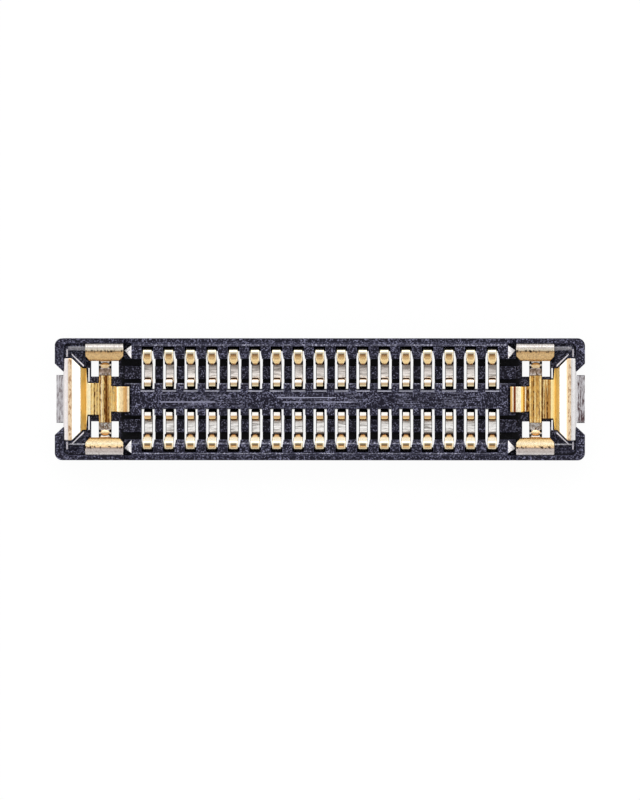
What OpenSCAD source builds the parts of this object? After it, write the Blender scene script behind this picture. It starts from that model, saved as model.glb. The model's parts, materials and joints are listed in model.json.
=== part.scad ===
// Receptacle half of a fine-pitch connector between a board and a flexible circuit.
// A black moulded housing carries two rows of formed contacts, and one formed
// power fitting at each end that is soldered down as well.
// Origin: middle of the board plane under the connector. X runs along the rows,
// Y across them, and +Z points out of the mating side. Millimetres.

/* [Contacts] */
// Number of contacts in each of the two rows
contacts_per_row = 17; // [5:1:25]
// Distance between neighbouring contacts
pitch = 0.35; // [0.34:0.01:0.5]
// Thickness of the contact sheet
contact_t = 0.05; // [0.04:0.005:0.055]
// Radius of the contact's bends at the middle of the sheet
contact_bend_r = 0.042; // [0.035:0.001:0.044]
// Height of the contact caps above the board
contact_h = 0.54; // [0.5:0.01:0.56]
// Width of a contact's cap and outer leg
cap_w = 0.15; // [0.13:0.01:0.16]
// Length of the cap's flat top, from the outer face of the outer leg
cap_l = 0.127; // [0.118:0.001:0.14]
// How far the outer spring's nose stands out of the long wall
nose_reach = 0.087; // [0.07:0.001:0.1]
// Height of that nose
nose_h = 0.42; // [0.36:0.01:0.43]
// Width of the blunt nose
nose_w = 0.07; // [0.05:0.01:0.1]
// How far the sheet draws back below the nose
nose_back = 0.03; // [0.015:0.005:0.04]
// Width of the bottom strip
bottom_w = 0.14; // [0.12:0.005:0.15]
// Air between the board and the bottom strip
bottom_air = 0.03; // [0.02:0.005:0.04]
// Width of the inner spring arm
arm_w = 0.112; // [0.08:0.004:0.12]
// How far the inner arm's bump stands out of the island
arm_reach = 0.097; // [0.07:0.001:0.105]
// Height of the inner arm's bump
arm_bump_h = 0.34; // [0.3:0.01:0.35]
// How far the arm's last bend lies back from its bump
arm_over_l = 0.03; // [0.026:0.001:0.036]
// How far that bend lies above the bump
arm_over_h = 0.056; // [0.055:0.001:0.064]
// Fall of the arm's end after its last bend
arm_tip_fall = 0.014; // [0.008:0.001:0.018]
// Air between the arm's end and the end of its slot in the island
arm_tip_air = 0.04; // [0.03:0.002:0.06]
// Height over which the inner arm rises straight before it leans outward
arm_rise = 0.1; // [0.09:0.005:0.12]
// Distance from the outer face of the leg to the lock dent in the cap
dent_y = 0.095; // [0.07:0.001:0.1]
// Length of the lock dent
dent_l = 0.05; // [0.03:0.01:0.06]
// Width of the lock dent
dent_w = 0.09; // [0.06:0.01:0.1]
// Depth of the lock dent
dent_depth = 0.012; // [0.006:0.002:0.02]
// Lower edge of the shoulders that hold a contact in its slot
shoulder_low = 0.14; // [0.1:0.01:0.2]
// Height of those shoulders
shoulder_l = 0.16; // [0.08:0.01:0.2]

/* [Housing across] */
// Width of the middle island
island_w = 0.52; // [0.44:0.02:0.6]
// Depth of the slots in each side of the island for the inner arms
island_slot = 0.093; // [0.09:0.001:0.12]
// How far the end of each of those slots leans back toward the top
slot_lean = 0.022; // [0.01:0.002:0.03]
// Width of the trench on each side of the island
inner_trench_w = 0.067; // [0.05:0.001:0.1]
// Width of the raised rib between the two trenches
rib_w = 0.209; // [0.16:0.001:0.26]
// Width of the trench inside each long wall
outer_trench_w = 0.121; // [0.1:0.001:0.16]
// Thickness of the long walls
wall_w = 0.333; // [0.32:0.001:0.4]
// Depth of the contact slots into the long walls
wall_slot = 0.202; // [0.19:0.001:0.21]
// Width of the sloped lead-in along the inner edge of the walls
lead_in_w = 0.073; // [0.03:0.001:0.08]
// Fall of that lead-in
lead_in_h = 0.05; // [0.02:0.01:0.1]
// Width of the lower rim that runs round the outside
rim_w = 0.076; // [0.06:0.002:0.09]
// Width of the small slope where the walls rise above the rim
rim_slope_w = 0.03; // [0.01:0.002:0.04]
// Radius of the four upright corners
corner_r = 0.12; // [0.06:0.01:0.16]

/* [Housing along] */
// Distance from the last contact to the end of the thick wall
wall_run = 0.255; // [0.2:0.005:0.4]
// Length of the facet at the end of the thick wall
facet_l = 0.12; // [0.06:0.01:0.13]
// Distance from the end plate to the housing's end face
end_lip = 0.138; // [0.12:0.002:0.2]
// Air between the solder tab and the end notch on each side
notch_air = 0.06; // [0.03:0.005:0.08]
// Slant of the end notch's sides, measured across
notch_slant = 0.13; // [0.06:0.01:0.16]

/* [Housing heights above the board] */
// Underside of the housing
underside_h = 0.02; // [0.01:0.005:0.025]
// Floor of the trenches
trench_h = 0.1; // [0.09:0.005:0.12]
// Top of the ribs
rib_h = 0.2; // [0.15:0.01:0.24]
// Top of the island
island_h = 0.45; // [0.43:0.01:0.46]
// Top of the rim
rim_h = 0.52; // [0.48:0.01:0.53]
// Top of the long walls
wall_h = 0.55; // [0.54:0.005:0.56]
// Top of the ledge inside the rim at the corners
ledge_h = 0.42; // [0.36:0.01:0.45]
// Top of the low deck beside the end plate
deck_h = 0.3; // [0.24:0.01:0.34]
// Width of the ledge inside the rim along the sides
ledge_w = 0.064; // [0.03:0.002:0.08]
// Width of the ledge inside the rim across the ends
ledge_end_w = 0.05; // [0.03:0.002:0.07]
// Radius of the ledge's outer corner
ledge_r = 0.08; // [0.04:0.01:0.1]
// Width of the slope from that ledge down to the deck
ledge_slope_w = 0.055; // [0.03:0.005:0.08]

/* [Island marks] */
// Length of each shallow panel in the island's top
panel_l = 1.4; // [0.8:0.05:1.6]
// Distance between the middles of neighbouring panels
panel_step = 1.92; // [1.8:0.02:2.0]
// Width of each panel
panel_w = 0.26; // [0.16:0.02:0.3]
// Depth of each panel
panel_depth = 0.01; // [0.005:0.005:0.02]

/* [Power fittings] */
// Thickness of the fitting sheet
fitting_t = 0.06; // [0.05:0.005:0.065]
// Radius of the fitting's bends at the middle of the sheet
fitting_bend_r = 0.05; // [0.044:0.002:0.054]
// Height of the fittings above the board
fitting_h = 0.57; // [0.56:0.005:0.6]
// Distance from the thick wall's end to the tip of the hook on the island's end
hook_gap = 0.041; // [0.03:0.001:0.08]
// Length of the hook that lies over the island's end
hook_l = 0.23; // [0.16:0.005:0.24]
// Width of the hook
hook_w = 0.418; // [0.3:0.002:0.46]
// How far the hook stands above the island
hook_rise = 0.02; // [0.0:0.005:0.04]
// Distance from the hook's outer face to the cross beam
beam_gap = 0.073; // [0.06:0.001:0.1]
// Width of the cross beam
beam_w = 0.21; // [0.16:0.002:0.26]
// Distance from the cross beam to the end plate's foot
pan_l = 0.201; // [0.19:0.001:0.26]
// Width of the pan between them at the -X end
pan_w_left = 0.524; // [0.46:0.002:0.66]
// Width of the pan between them at the +X end
pan_w_right = 0.64; // [0.46:0.002:0.66]
// Length of the foot where the end plate meets the pan
foot_l = 0.081; // [0.07:0.001:0.12]
// Length of the end plate's slope, seen from above
slope_l = 0.133; // [0.11:0.001:0.16]
// Fall of that slope
slope_fall = 0.075; // [0.06:0.005:0.1]
// Width of the end plate at the foot of its slope
slope_foot_w = 1.01; // [0.9:0.01:1.1]
// Length of the end plate's crest
crest_l = 0.143; // [0.13:0.001:0.18]
// Width of the end plate
plate_w = 1.336; // [1.2:0.002:1.4]
// Length of the solder tab outside the end plate
tab_l = 0.136; // [0.08:0.001:0.138]
// Width of that solder tab
tab_w = 0.78; // [0.5:0.01:0.84]
// Length of each side leaf along the connector
leaf_l = 0.622; // [0.58:0.001:0.64]
// Width of a side leaf's top, seen from above
leaf_top_w = 0.13; // [0.12:0.001:0.14]
// Width of a side leaf's slope, seen from above
leaf_slope_w = 0.164; // [0.13:0.001:0.17]
// Height of the lower edge of a side leaf's slope
leaf_edge_h = 0.44; // [0.38:0.01:0.45]
// Size of the cut corners on that edge
leaf_corner = 0.06; // [0.03:0.005:0.08]
// Length of a side leaf's solder foot along the connector
leaf_foot_l = 0.4; // [0.2:0.02:0.5]
// Radius of the raised dimple on each arm of the cross beam
dimple_r = 0.07; // [0.05:0.005:0.08]
// Height of that dimple
dimple_h = 0.02; // [0.01:0.002:0.024]

/* [Windows and clearances] */
// Air between a contact and the side of its slot at the cap
slot_air = 0.021; // [0.015:0.001:0.03]
// Length over which a floor window narrows inside the long wall
neck_l = 0.073; // [0.05:0.001:0.08]
// Air between a contact and the side of its floor window
window_air = 0.036; // [0.034:0.001:0.045]
// Air between a formed sheet and plastic that does not hold it
sheet_air = 0.01; // [0.006:0.001:0.012]
// Air behind a contact's outer leg
leg_air = 0.03; // [0.026:0.001:0.05]
// Overhang of the housing over the ends of the solder feet
foot_cover = 0.03; // [0.01:0.005:0.035]
// Air beside the cross beam toward the middle of the connector
beam_air_in = 0.114; // [0.08:0.001:0.12]
// Air beside the cross beam toward the end of the connector
beam_air_out = 0.127; // [0.07:0.001:0.13]
// Width of the bar of floor between the wider pan and each end window
window_bar = 0.045; // [0.03:0.001:0.06]
// Air beside the end plate's slope
slope_air = 0.02; // [0.01:0.002:0.03]
// Width of the slit in the floor at the foot of the end plate
slit_w = 0.021; // [0.014:0.001:0.03]
// Distance from that slit to the foot
slit_gap = 0.028; // [0.01:0.002:0.034]

/* [Hidden] */
// Name of contact i in a row
function contact_name(row, i) = str("contact_", row, "_", i < 10 ? "0" : "", i);

$fn = 48;
// Largest turn of one facet in a bend of a formed sheet, in degrees
bend_facet = 30;
// How far a cut runs past the surface that it opens
past = 0.05;
// Height that clears the whole connector
tall = fitting_h + 2 * past;

housing_colour = [0.16, 0.15, 0.19];
contact_colour = [0.86, 0.74, 0.50];
fitting_colour = [0.84, 0.70, 0.40];

// Places across the housing, from the middle outward
island_y = island_w / 2;
slot_in_y = island_y - island_slot;
rib_in_y = island_y + inner_trench_w;
rib_out_y = rib_in_y + rib_w;
wall_in_y = rib_out_y + outer_trench_w;
slot_out_y = wall_in_y + wall_slot;
body_y = wall_in_y + wall_w;
rim_in_y = body_y - rim_w;
foot_y = body_y - foot_cover;
slot_floor_h = shoulder_low - sheet_air;

// Places along the housing, from the middle outward
last_contact_x = (contacts_per_row - 1) * pitch / 2;
wall_end_x = last_contact_x + wall_run;
hook_tip_x = wall_end_x + hook_gap;
hook_out_x = hook_tip_x + hook_l;
beam_in_x = hook_out_x + beam_gap;
beam_out_x = beam_in_x + beam_w;
beam_x = (beam_in_x + beam_out_x) / 2;
foot_in_x = beam_out_x + pan_l;
foot_out_x = foot_in_x + foot_l;
crest_in_x = foot_out_x + slope_l;
plate_x = crest_in_x + crest_l;
tab_x = plate_x + tab_l;
body_x = plate_x + end_lip;
leaf_out_x = foot_in_x;
leaf_in_x = leaf_out_x - leaf_l;

// Contact sheet, from its solder tail to the end of its inner arm
leg_out_y = slot_out_y - leg_air;
leg_in_y = leg_out_y - contact_t;
leg_y = leg_out_y - contact_t / 2;
nose_y = wall_in_y - nose_reach;
bottom_h = bottom_air + contact_t / 2;
arm_y = slot_in_y + sheet_air + contact_t / 2;
arm_bump_y = island_y + arm_reach;
arm_start_h = bottom_h + arm_rise;
arm_tip_y = slot_in_y + arm_tip_air;
slot_w = cap_w + 2 * slot_air;
window_w = cap_w + 2 * window_air;

// Fitting sheet
pan_h = trench_h + fitting_t / 2;
window_in_y = max(pan_w_left, pan_w_right) / 2 + window_bar;
crest_h = fitting_h - fitting_t / 2;
plate_mid_x = plate_x - fitting_t / 2;
riser_x = hook_out_x - fitting_t / 2;
hook_h = island_h + hook_rise - fitting_t / 2;
hook_seat_h = hook_h - fitting_t / 2;
foot_mid_x = (foot_in_x + foot_out_x) / 2;
leg_end_h = 2 * fitting_t;
leg_floor_h = leg_end_h - sheet_air;
leaf_leg_y = rim_in_y - fitting_t / 2;
leaf_crest_y = rim_in_y - leaf_top_w;
leaf_edge_y = leaf_crest_y - leaf_slope_w;
leaf_inner_y = leaf_edge_y + fitting_t / 2;

contact_path = [
    [foot_y, contact_t / 2],
    [leg_y, contact_t / 2],
    [leg_y, contact_h - contact_t / 2],
    [leg_out_y - cap_l, contact_h - contact_t / 2],
    [nose_y + contact_t / 2, nose_h],
    [nose_y + contact_t / 2 + nose_back, bottom_h],
    [arm_y, bottom_h],
    [arm_y, arm_start_h],
    [arm_bump_y - contact_t / 2, arm_bump_h],
    [arm_bump_y - contact_t / 2 - arm_over_l, arm_bump_h + arm_over_h],
    [arm_tip_y, arm_bump_h + arm_over_h - arm_tip_fall]
];

plate_path = [
    [tab_x, fitting_t / 2],
    [plate_mid_x, fitting_t / 2],
    [plate_mid_x, crest_h],
    [crest_in_x + sheet_air, crest_h],
    [foot_out_x + sheet_air, crest_h - slope_fall],
    [foot_mid_x, pan_h],
    [riser_x, pan_h],
    [riser_x, hook_h],
    [hook_tip_x, hook_h]
];

leaf_path = [
    [0, pan_h],
    [leaf_inner_y, pan_h],
    [leaf_inner_y, leaf_edge_h],
    [leaf_crest_y, crest_h],
    [leaf_leg_y, crest_h],
    [leaf_leg_y, fitting_t / 2],
    [foot_y, fitting_t / 2]
];

// Place of contact i along its row
function contact_x(i) = (i - (contacts_per_row + 1) / 2) * pitch;
// Unit vector along v
function unit(v) = v / norm(v);
// The vector v turned a quarter to the left
function left_of(v) = [-v[1], v[0]];
// Signed angle by which a path turns at b, positive to the left
function turn_at(a, b, c) =
    let (u = unit(b - a), w = unit(c - b)) atan2(u[0] * w[1] - u[1] * w[0], u * w);
// Points round the bend at b of the line that runs the distance d left of the path
function bend_points(a, b, c, r, d) =
    let (
        u = unit(b - a),
        angle = turn_at(a, b, c),
        way = sign(angle),
        steps = ceil(abs(angle) / bend_facet),
        start = b - u * r * tan(abs(angle) / 2),
        middle = start + left_of(u) * way * r
    )
    [
        for (k = [0:steps])
            let (s = angle * k / steps)
            middle + (left_of(u) * cos(s) - u * sin(s)) * (d - way * r)
    ];
// Points of the line that runs the distance d left of a path with rounded corners
function side_points(path, r, d) =
    let (last = len(path) - 1)
    concat(
        [path[0] + left_of(unit(path[1] - path[0])) * d],
        [for (i = [1:last - 1]) each bend_points(path[i - 1], path[i], path[i + 1], r, d)],
        [path[last] + left_of(unit(path[last] - path[last - 1])) * d]
    );

// Edge view of a sheet of thickness t that follows a path
module sheet_2d(path, r, t) {
    back = side_points(path, r, -t / 2);
    polygon(concat(side_points(path, r, t / 2), [for (i = [len(back) - 1:-1:0]) back[i]]));
}

// Extrudes a YZ outline along X over the width w
module across_x(w) {
    rotate([90, 0, 90]) linear_extrude(w, center = true) children();
}

// Extrudes an XZ outline along Y over the width w
module across_y(w) {
    rotate([90, 0, 0]) linear_extrude(w, center = true) children();
}

// Everything farther than w / 2 from the YZ plane, between two places along Y and Z
module beside(w, y0, y1, z0, z1) {
    for (side = [-1, 1])
        translate([side * (w / 2 + past), (y0 + y1) / 2, (z0 + z1) / 2])
            cube([2 * past, y1 - y0, z1 - z0], center = true);
}

// Box between two corners
module box(from, to) {
    translate(from) cube(to - from);
}

// One contact of the row at +Y, in its own place at x = 0
module contact() {
    shoulder_top = shoulder_low + shoulder_l;
    bottom_top = (bottom_h + nose_h) / 2;
    arm_edge_y = arm_bump_y + sheet_air;
    nose_corner = (cap_w - nose_w) / 2;
    color(contact_colour) difference() {
        across_x(slot_w) sheet_2d(contact_path, contact_bend_r, contact_t);
        beside(cap_w, 0, leg_in_y - sheet_air, -past, tall);
        beside(cap_w, leg_in_y - 2 * sheet_air, body_y, shoulder_top, tall);
        beside(cap_w, leg_in_y - 2 * sheet_air, body_y, -past, shoulder_low);
        beside(bottom_w, 0, leg_in_y - 2 * sheet_air, -past, bottom_top);
        beside(arm_w, 0, arm_edge_y, -past, tall);
        for (side = [-1, 1])
            translate([0, 0, bottom_top]) linear_extrude(tall)
                polygon([
                    [side * nose_w / 2, nose_y],
                    [side * cap_w / 2, nose_y + nose_corner],
                    [side * cap_w, nose_y + nose_corner],
                    [side * cap_w, nose_y - past],
                    [side * nose_w / 2, nose_y - past]
                ]);
        box(
            [-dent_w / 2, leg_out_y - dent_y - dent_l, contact_h - dent_depth],
            [dent_w / 2, leg_out_y - dent_y, contact_h + past]
        );
    }
}

// Plan of half an end plate, its pan and its hook, on the +Y side
module fitting_plan_2d(pan_w) {
    polygon([
        [hook_tip_x - past, 0],
        [hook_tip_x - past, hook_w / 2],
        [beam_in_x, hook_w / 2],
        [beam_in_x + past, pan_w / 2],
        [foot_in_x, pan_w / 2],
        [foot_in_x, slope_foot_w / 2],
        [foot_out_x, slope_foot_w / 2],
        [crest_in_x, plate_w / 2],
        [plate_x + sheet_air, plate_w / 2],
        [plate_x + sheet_air, tab_w / 2],
        [tab_x + past, tab_w / 2],
        [tab_x + past, 0]
    ]);
}

// End plate with its solder tab, pan and hook
module end_plate(pan_w) {
    intersection() {
        across_y(plate_w) sheet_2d(plate_path, fitting_bend_r, fitting_t);
        translate([0, 0, -past]) linear_extrude(tall) union() {
            fitting_plan_2d(pan_w);
            mirror([0, 1]) fitting_plan_2d(pan_w);
        }
        union() {
            box([0, -plate_w, leg_end_h], [tab_x + past, plate_w, tall]);
            box([0, -tab_w / 2, -past], [tab_x + past, tab_w / 2, leg_end_h]);
            box([0, -plate_w, trench_h - past], [foot_out_x + past, plate_w, leg_end_h]);
        }
    }
}

// One side leaf on its arm of the cross beam, on the +Y side
module side_leaf() {
    leaf_mid_x = (leaf_in_x + leaf_out_x) / 2;
    edge_in_y = leaf_edge_y - past;
    translate([leaf_mid_x, 0, 0]) difference() {
        across_x(leaf_l) sheet_2d(leaf_path, fitting_bend_r, fitting_t);
        // The arm below the leaf keeps the beam's width
        box([beam_out_x - leaf_mid_x, -past, -past], [leaf_l, leaf_leg_y - fitting_t, leaf_edge_h]);
        box([-leaf_l, -past, -past], [beam_in_x - leaf_mid_x, leaf_leg_y - fitting_t, leaf_edge_h]);
        // The outer leg narrows to its solder foot
        for (side = [-1, 1])
            translate([side * (leaf_foot_l + leaf_l) / 2, (leaf_leg_y + foot_y) / 2, 0])
                cube([leaf_l, foot_y - leaf_leg_y + fitting_t + past, 2 * leg_end_h], center = true);
        // Cut corners of the leaf's lower edge
        for (side = [-1, 1])
            translate([0, 0, leaf_edge_h - past]) linear_extrude(tall)
                polygon([
                    [side * (leaf_l / 2 - leaf_corner), edge_in_y],
                    [side * (leaf_l / 2 - leaf_corner), leaf_edge_y],
                    [side * leaf_l / 2, leaf_edge_y + leaf_corner],
                    [side * leaf_l, leaf_edge_y + leaf_corner],
                    [side * leaf_l, edge_in_y]
                ]);
    }
}

// Raised dimple on an arm of the cross beam
module dimple() {
    dimple_y = leaf_edge_y - dimple_r;
    ball_r = (dimple_r * dimple_r + dimple_h * dimple_h) / (2 * dimple_h);
    top_h = trench_h + fitting_t;
    translate([beam_x, dimple_y, top_h]) intersection() {
        translate([0, 0, dimple_h - ball_r]) sphere(r = ball_r);
        translate([0, 0, -fitting_t / 2]) cylinder(h = fitting_t, r = dimple_r);
    }
}

// Power fitting in its place at the +X end, with a pan of the width pan_w
module power_fitting(pan_w) {
    color(fitting_colour) union() {
        end_plate(pan_w);
        for (side = [0, 1]) mirror([0, side, 0]) {
            side_leaf();
            dimple();
        }
    }
}

// Outline of the housing seen from above, with a notch in each end
module housing_outline_2d() {
    notch_in_y = tab_w / 2 + notch_air;
    difference() {
        union() {
            square([2 * body_x, 2 * (body_y - corner_r)], center = true);
            square([2 * (body_x - corner_r), 2 * body_y], center = true);
            for (x = [-1, 1], y = [-1, 1])
                translate([x * (body_x - corner_r), y * (body_y - corner_r)]) circle(r = corner_r);
        }
        for (side = [-1, 1])
            polygon([
                [side * plate_x, -notch_in_y],
                [side * body_x, -notch_in_y - notch_slant],
                [side * (body_x + past), -notch_in_y - notch_slant],
                [side * (body_x + past), notch_in_y + notch_slant],
                [side * body_x, notch_in_y + notch_slant],
                [side * plate_x, notch_in_y]
            ]);
    }
}

// Section of the space above the housing between the ends, on the +Y side
module mating_groove_2d() {
    polygon([
        [-past, island_h],
        [island_y, island_h],
        [island_y, trench_h],
        [rib_in_y, trench_h],
        [rib_in_y, rib_h],
        [rib_out_y, rib_h],
        [rib_out_y, trench_h],
        [wall_in_y, trench_h],
        [wall_in_y, wall_h - lead_in_h],
        [wall_in_y + lead_in_w, wall_h],
        [wall_in_y + lead_in_w, tall],
        [-past, tall]
    ]);
}

// Section of the space outside the long wall's top, on the +Y side
module rim_step_2d() {
    polygon([
        [rim_in_y - rim_slope_w, wall_h],
        [rim_in_y, rim_h],
        [body_y + past, rim_h],
        [body_y + past, tall],
        [rim_in_y - rim_slope_w, tall]
    ]);
}

// Slot and floor window of one contact, with the groove of its solder tail
module contact_slot() {
    tail_w = cap_w + 2 * sheet_air;
    tail_fillet = contact_bend_r - contact_t / 2;
    neck_y = wall_in_y + 2 * sheet_air;
    blind_y = neck_y + neck_l;
    // Window through the floor, which the leg leaves at its outer end
    translate([0, 0, -past]) linear_extrude(tall + past)
        polygon([
            [window_w / 2, slot_in_y],
            [window_w / 2, neck_y],
            [slot_w / 2, blind_y],
            [tail_w / 2, blind_y],
            [tail_w / 2, leg_out_y],
            [-tail_w / 2, leg_out_y],
            [-tail_w / 2, blind_y],
            [-slot_w / 2, blind_y],
            [-window_w / 2, neck_y],
            [-window_w / 2, slot_in_y]
        ]);
    // Blind slot round the outer leg
    box([-slot_w / 2, blind_y - sheet_air, slot_floor_h], [slot_w / 2, slot_out_y, tall]);
    // Leaning end of the slot in the island
    across_x(window_w)
        polygon([
            [slot_in_y, rib_h],
            [slot_in_y - slot_lean, island_h],
            [slot_in_y - slot_lean, tall],
            [slot_in_y + sheet_air, tall],
            [slot_in_y + sheet_air, rib_h]
        ]);
    // Groove of the solder tail, higher where the leg's bend runs into it
    across_x(tail_w)
        polygon([
            [leg_in_y, -past],
            [body_y + past, -past],
            [body_y + past, contact_t + sheet_air],
            [leg_out_y + tail_fillet, contact_t + sheet_air],
            [leg_out_y, contact_t + tail_fillet + sheet_air],
            [leg_in_y, contact_t + tail_fillet + sheet_air]
        ]);
}

// Space over the floor at the +X end, on the +Y side, down to the floor
module end_floor_space() {
    post_in_y = leaf_edge_y + fitting_t + sheet_air;
    plate_half = plate_w / 2 + slope_air;
    foot_half = slope_foot_w / 2 + slope_air;
    // Floor beside and beyond the hook, ribs left standing up to the windows
    box([wall_end_x - past, rib_out_y, trench_h], [leaf_in_x - sheet_air, wall_in_y, tall]);
    box([wall_end_x - past, rib_in_y, rib_h], [beam_in_x - beam_air_in, rib_out_y + past, tall]);
    box([wall_end_x - past, island_y, trench_h], [beam_in_x - beam_air_in, rib_in_y, tall]);
    box([hook_tip_x - 2 * sheet_air, -past, hook_seat_h], [hook_out_x, island_y + past, tall]);
    box([hook_out_x - fitting_t - sheet_air, -past, trench_h], [beam_in_x, island_y + past, tall]);
    box([beam_in_x - beam_air_in, -past, trench_h], [foot_in_x, slope_foot_w / 2, tall]);
    box([leaf_in_x - sheet_air, slope_foot_w / 2 - past, trench_h], [leaf_out_x, post_in_y, tall]);
    // Room for the end plate's slope, seen from above and then from the side
    intersection() {
        linear_extrude(tall)
            polygon([
                [foot_in_x - past, -past],
                [foot_in_x - past, foot_half],
                [foot_out_x, foot_half],
                [crest_in_x, plate_half],
                [plate_x, plate_half],
                [plate_x, -past]
            ]);
        across_y(2 * body_y) slope_space_2d();
    }
}

// Section of the room in front of the end plate's post, which the sheet's back clears
module slope_space_2d() {
    gap = fitting_t / 2 + sheet_air;
    back = side_points([for (i = [3:5]) plate_path[i]], fitting_bend_r, gap);
    last = len(back) - 1;
    polygon(concat(
        [[plate_x, tall], [plate_x, crest_h - gap], [crest_in_x, crest_h - gap]],
        [for (i = [1:last - 1]) back[i]],
        [[back[last][0], trench_h], [foot_in_x - past, trench_h], [foot_in_x - past, tall]]
    ));
}

// Ledge inside the rim, seen from above, on the +Y side of the +X end
module ledge_2d() {
    translate([leaf_out_x, 0]) square([plate_x - leaf_out_x - ledge_r, rim_in_y]);
    translate([leaf_out_x, 0]) square([plate_x - leaf_out_x, rim_in_y - ledge_r]);
    translate([plate_x - ledge_r, rim_in_y - ledge_r]) circle(r = ledge_r);
}

// Space over the deck and the ledge at the +X end, on the +Y side
module end_deck_space() {
    ledge_y = rim_in_y - ledge_w;
    slope_y = ledge_y - ledge_slope_w;
    ledge_x = plate_x - ledge_end_w;
    deck_x = ledge_x - ledge_slope_w / 2;
    plate_side_y = plate_w / 2 + slope_air;
    slant = leaf_in_x - wall_end_x;
    translate([0, 0, ledge_h]) linear_extrude(tall) ledge_2d();
    // Deck beside the end plate and the slope up to the ledge
    intersection() {
        across_x(2 * plate_x)
            polygon([[0, deck_h], [slope_y, deck_h], [ledge_y, ledge_h], [ledge_y, tall], [0, tall]]);
        across_y(2 * body_y)
            polygon([
                [leaf_out_x, deck_h],
                [deck_x, deck_h],
                [ledge_x, ledge_h],
                [ledge_x, tall],
                [leaf_out_x, tall]
            ]);
        linear_extrude(tall)
            polygon([
                [leaf_out_x, 0],
                [crest_in_x, 0],
                [crest_in_x, plate_side_y],
                [plate_x, plate_side_y],
                [plate_x, body_y],
                [leaf_out_x, body_y]
            ]);
    }
    // Deck between the thick wall and the leaf
    translate([0, 0, deck_h]) linear_extrude(tall)
        polygon([
            [wall_end_x, 0],
            [wall_end_x, wall_in_y],
            [wall_end_x + facet_l, slope_y],
            [wall_end_x, rim_in_y - rim_slope_w - sheet_air],
            [wall_end_x, rim_in_y],
            [leaf_in_x + sheet_air, rim_in_y],
            [leaf_in_x + sheet_air, 0]
        ]);
    // Facet that falls from the wall's top
    across_y(2 * body_y)
        polygon([
            [wall_end_x, wall_h],
            [wall_end_x + slant, ledge_h],
            [wall_end_x + slant, tall],
            [wall_end_x, tall]
        ]);
}

// Room for a side leaf round its post, on the +Y side
module leaf_space() {
    air = sheet_air;
    post_in_y = leaf_edge_y + fitting_t + air;
    post_out_y = leaf_leg_y - fitting_t / 2 - air;
    post_top_h = fitting_h - fitting_t - air;
    leaf_mid_x = (leaf_in_x + leaf_out_x) / 2;
    foot_fillet = fitting_bend_r - fitting_t / 2;
    translate([leaf_mid_x, 0, 0]) across_x(leaf_l + 2 * air)
        polygon([
            [0, trench_h],
            [post_in_y, trench_h],
            [post_in_y, leaf_edge_h - 2 * air],
            [leaf_crest_y + 2 * air, post_top_h],
            [post_out_y, post_top_h],
            [post_out_y, leg_floor_h],
            [rim_in_y, leg_floor_h],
            [rim_in_y, tall],
            [0, tall]
        ]);
    // The same slot goes through only over the solder foot
    translate([leaf_mid_x, 0, 0]) across_x(leaf_foot_l + 2 * air)
        translate([post_out_y, -past]) square([rim_in_y - post_out_y, leg_floor_h + 2 * past]);
    // Groove of the solder foot, higher where the leg's bend runs into it
    translate([leaf_mid_x, 0, 0]) across_x(leaf_foot_l + 2 * air)
        polygon([
            [rim_in_y - past, -past],
            [body_y + past, -past],
            [body_y + past, fitting_t + air],
            [rim_in_y + foot_fillet, fitting_t + air],
            [rim_in_y, fitting_t + foot_fillet + air],
            [rim_in_y - past, fitting_t + foot_fillet + air]
        ]);
}

// Windows and slits in the floor at the +X end, on the +Y side
module end_windows(pan_w) {
    slit_x = foot_in_x - slit_gap - slit_w;
    box(
        [beam_in_x - beam_air_in, window_in_y, -past],
        [beam_out_x + beam_air_out, leaf_edge_y + fitting_t + sheet_air, tall]
    );
    box([slit_x, pan_w / 2 + slope_air, -past], [slit_x + slit_w, slope_foot_w / 2, tall]);
}

// All that is cut away at the +X end, for a pan of the width pan_w
module end_cuts(pan_w) {
    for (side = [0, 1]) mirror([0, side, 0]) {
        end_floor_space();
        end_deck_space();
        leaf_space();
        end_windows(pan_w);
        // Lower rim round the end
        box([leaf_in_x, -past, rim_h], [body_x + past, body_y + past, tall]);
        translate([(wall_end_x + leaf_in_x) / 2, 0, 0]) across_x(leaf_in_x - wall_end_x + 2 * past)
            rim_step_2d();
    }
    // Slot for the end plate's outer leg, through only over the solder tab
    box(
        [plate_x - fitting_t - sheet_air, -plate_w / 2 - sheet_air, leg_floor_h],
        [plate_x, plate_w / 2 + sheet_air, tall]
    );
    box(
        [plate_x - fitting_t - sheet_air, -tab_w / 2 - sheet_air, -past],
        [plate_x, tab_w / 2 + sheet_air, leg_floor_h + past]
    );
}

// Moulded housing
module housing() {
    color(housing_colour) difference() {
        translate([0, 0, underside_h]) linear_extrude(wall_h - underside_h) housing_outline_2d();
        for (side = [0, 1]) mirror([0, side, 0]) {
            across_x(2 * wall_end_x) mating_groove_2d();
            across_x(2 * wall_end_x) rim_step_2d();
            for (i = [1:contacts_per_row]) translate([contact_x(i), 0, 0]) contact_slot();
        }
        end_cuts(pan_w_right);
        mirror([1, 0, 0]) end_cuts(pan_w_left);
        for (x = [-panel_step, 0, panel_step])
            translate([x, 0, island_h]) cube([panel_l, panel_w, 2 * panel_depth], center = true);
    }
}

housing();
mirror([1, 0, 0]) power_fitting(pan_w_left);  // power_fitting_left
power_fitting(pan_w_right);  // power_fitting_right
for (i = [1:contacts_per_row]) {
    translate([contact_x(i), 0, 0]) contact();
    translate([contact_x(i), 0, 0]) rotate(180) contact();
}
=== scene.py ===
# %% [markdown]
# A board connector that is 8.6 mm long, seen from its mating side.
# The construction is loaded as a fixed frame. Each visible piece is then either a finished
# copy of its solid, or a formed strip of metal that is bent again from a few path points.
# Lengths below are written in millimetres and turned into metres where a mesh is made.

# %% Load the frame
import json
import math

import bmesh
import bpy
from mathutils import Matrix, Vector

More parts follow.
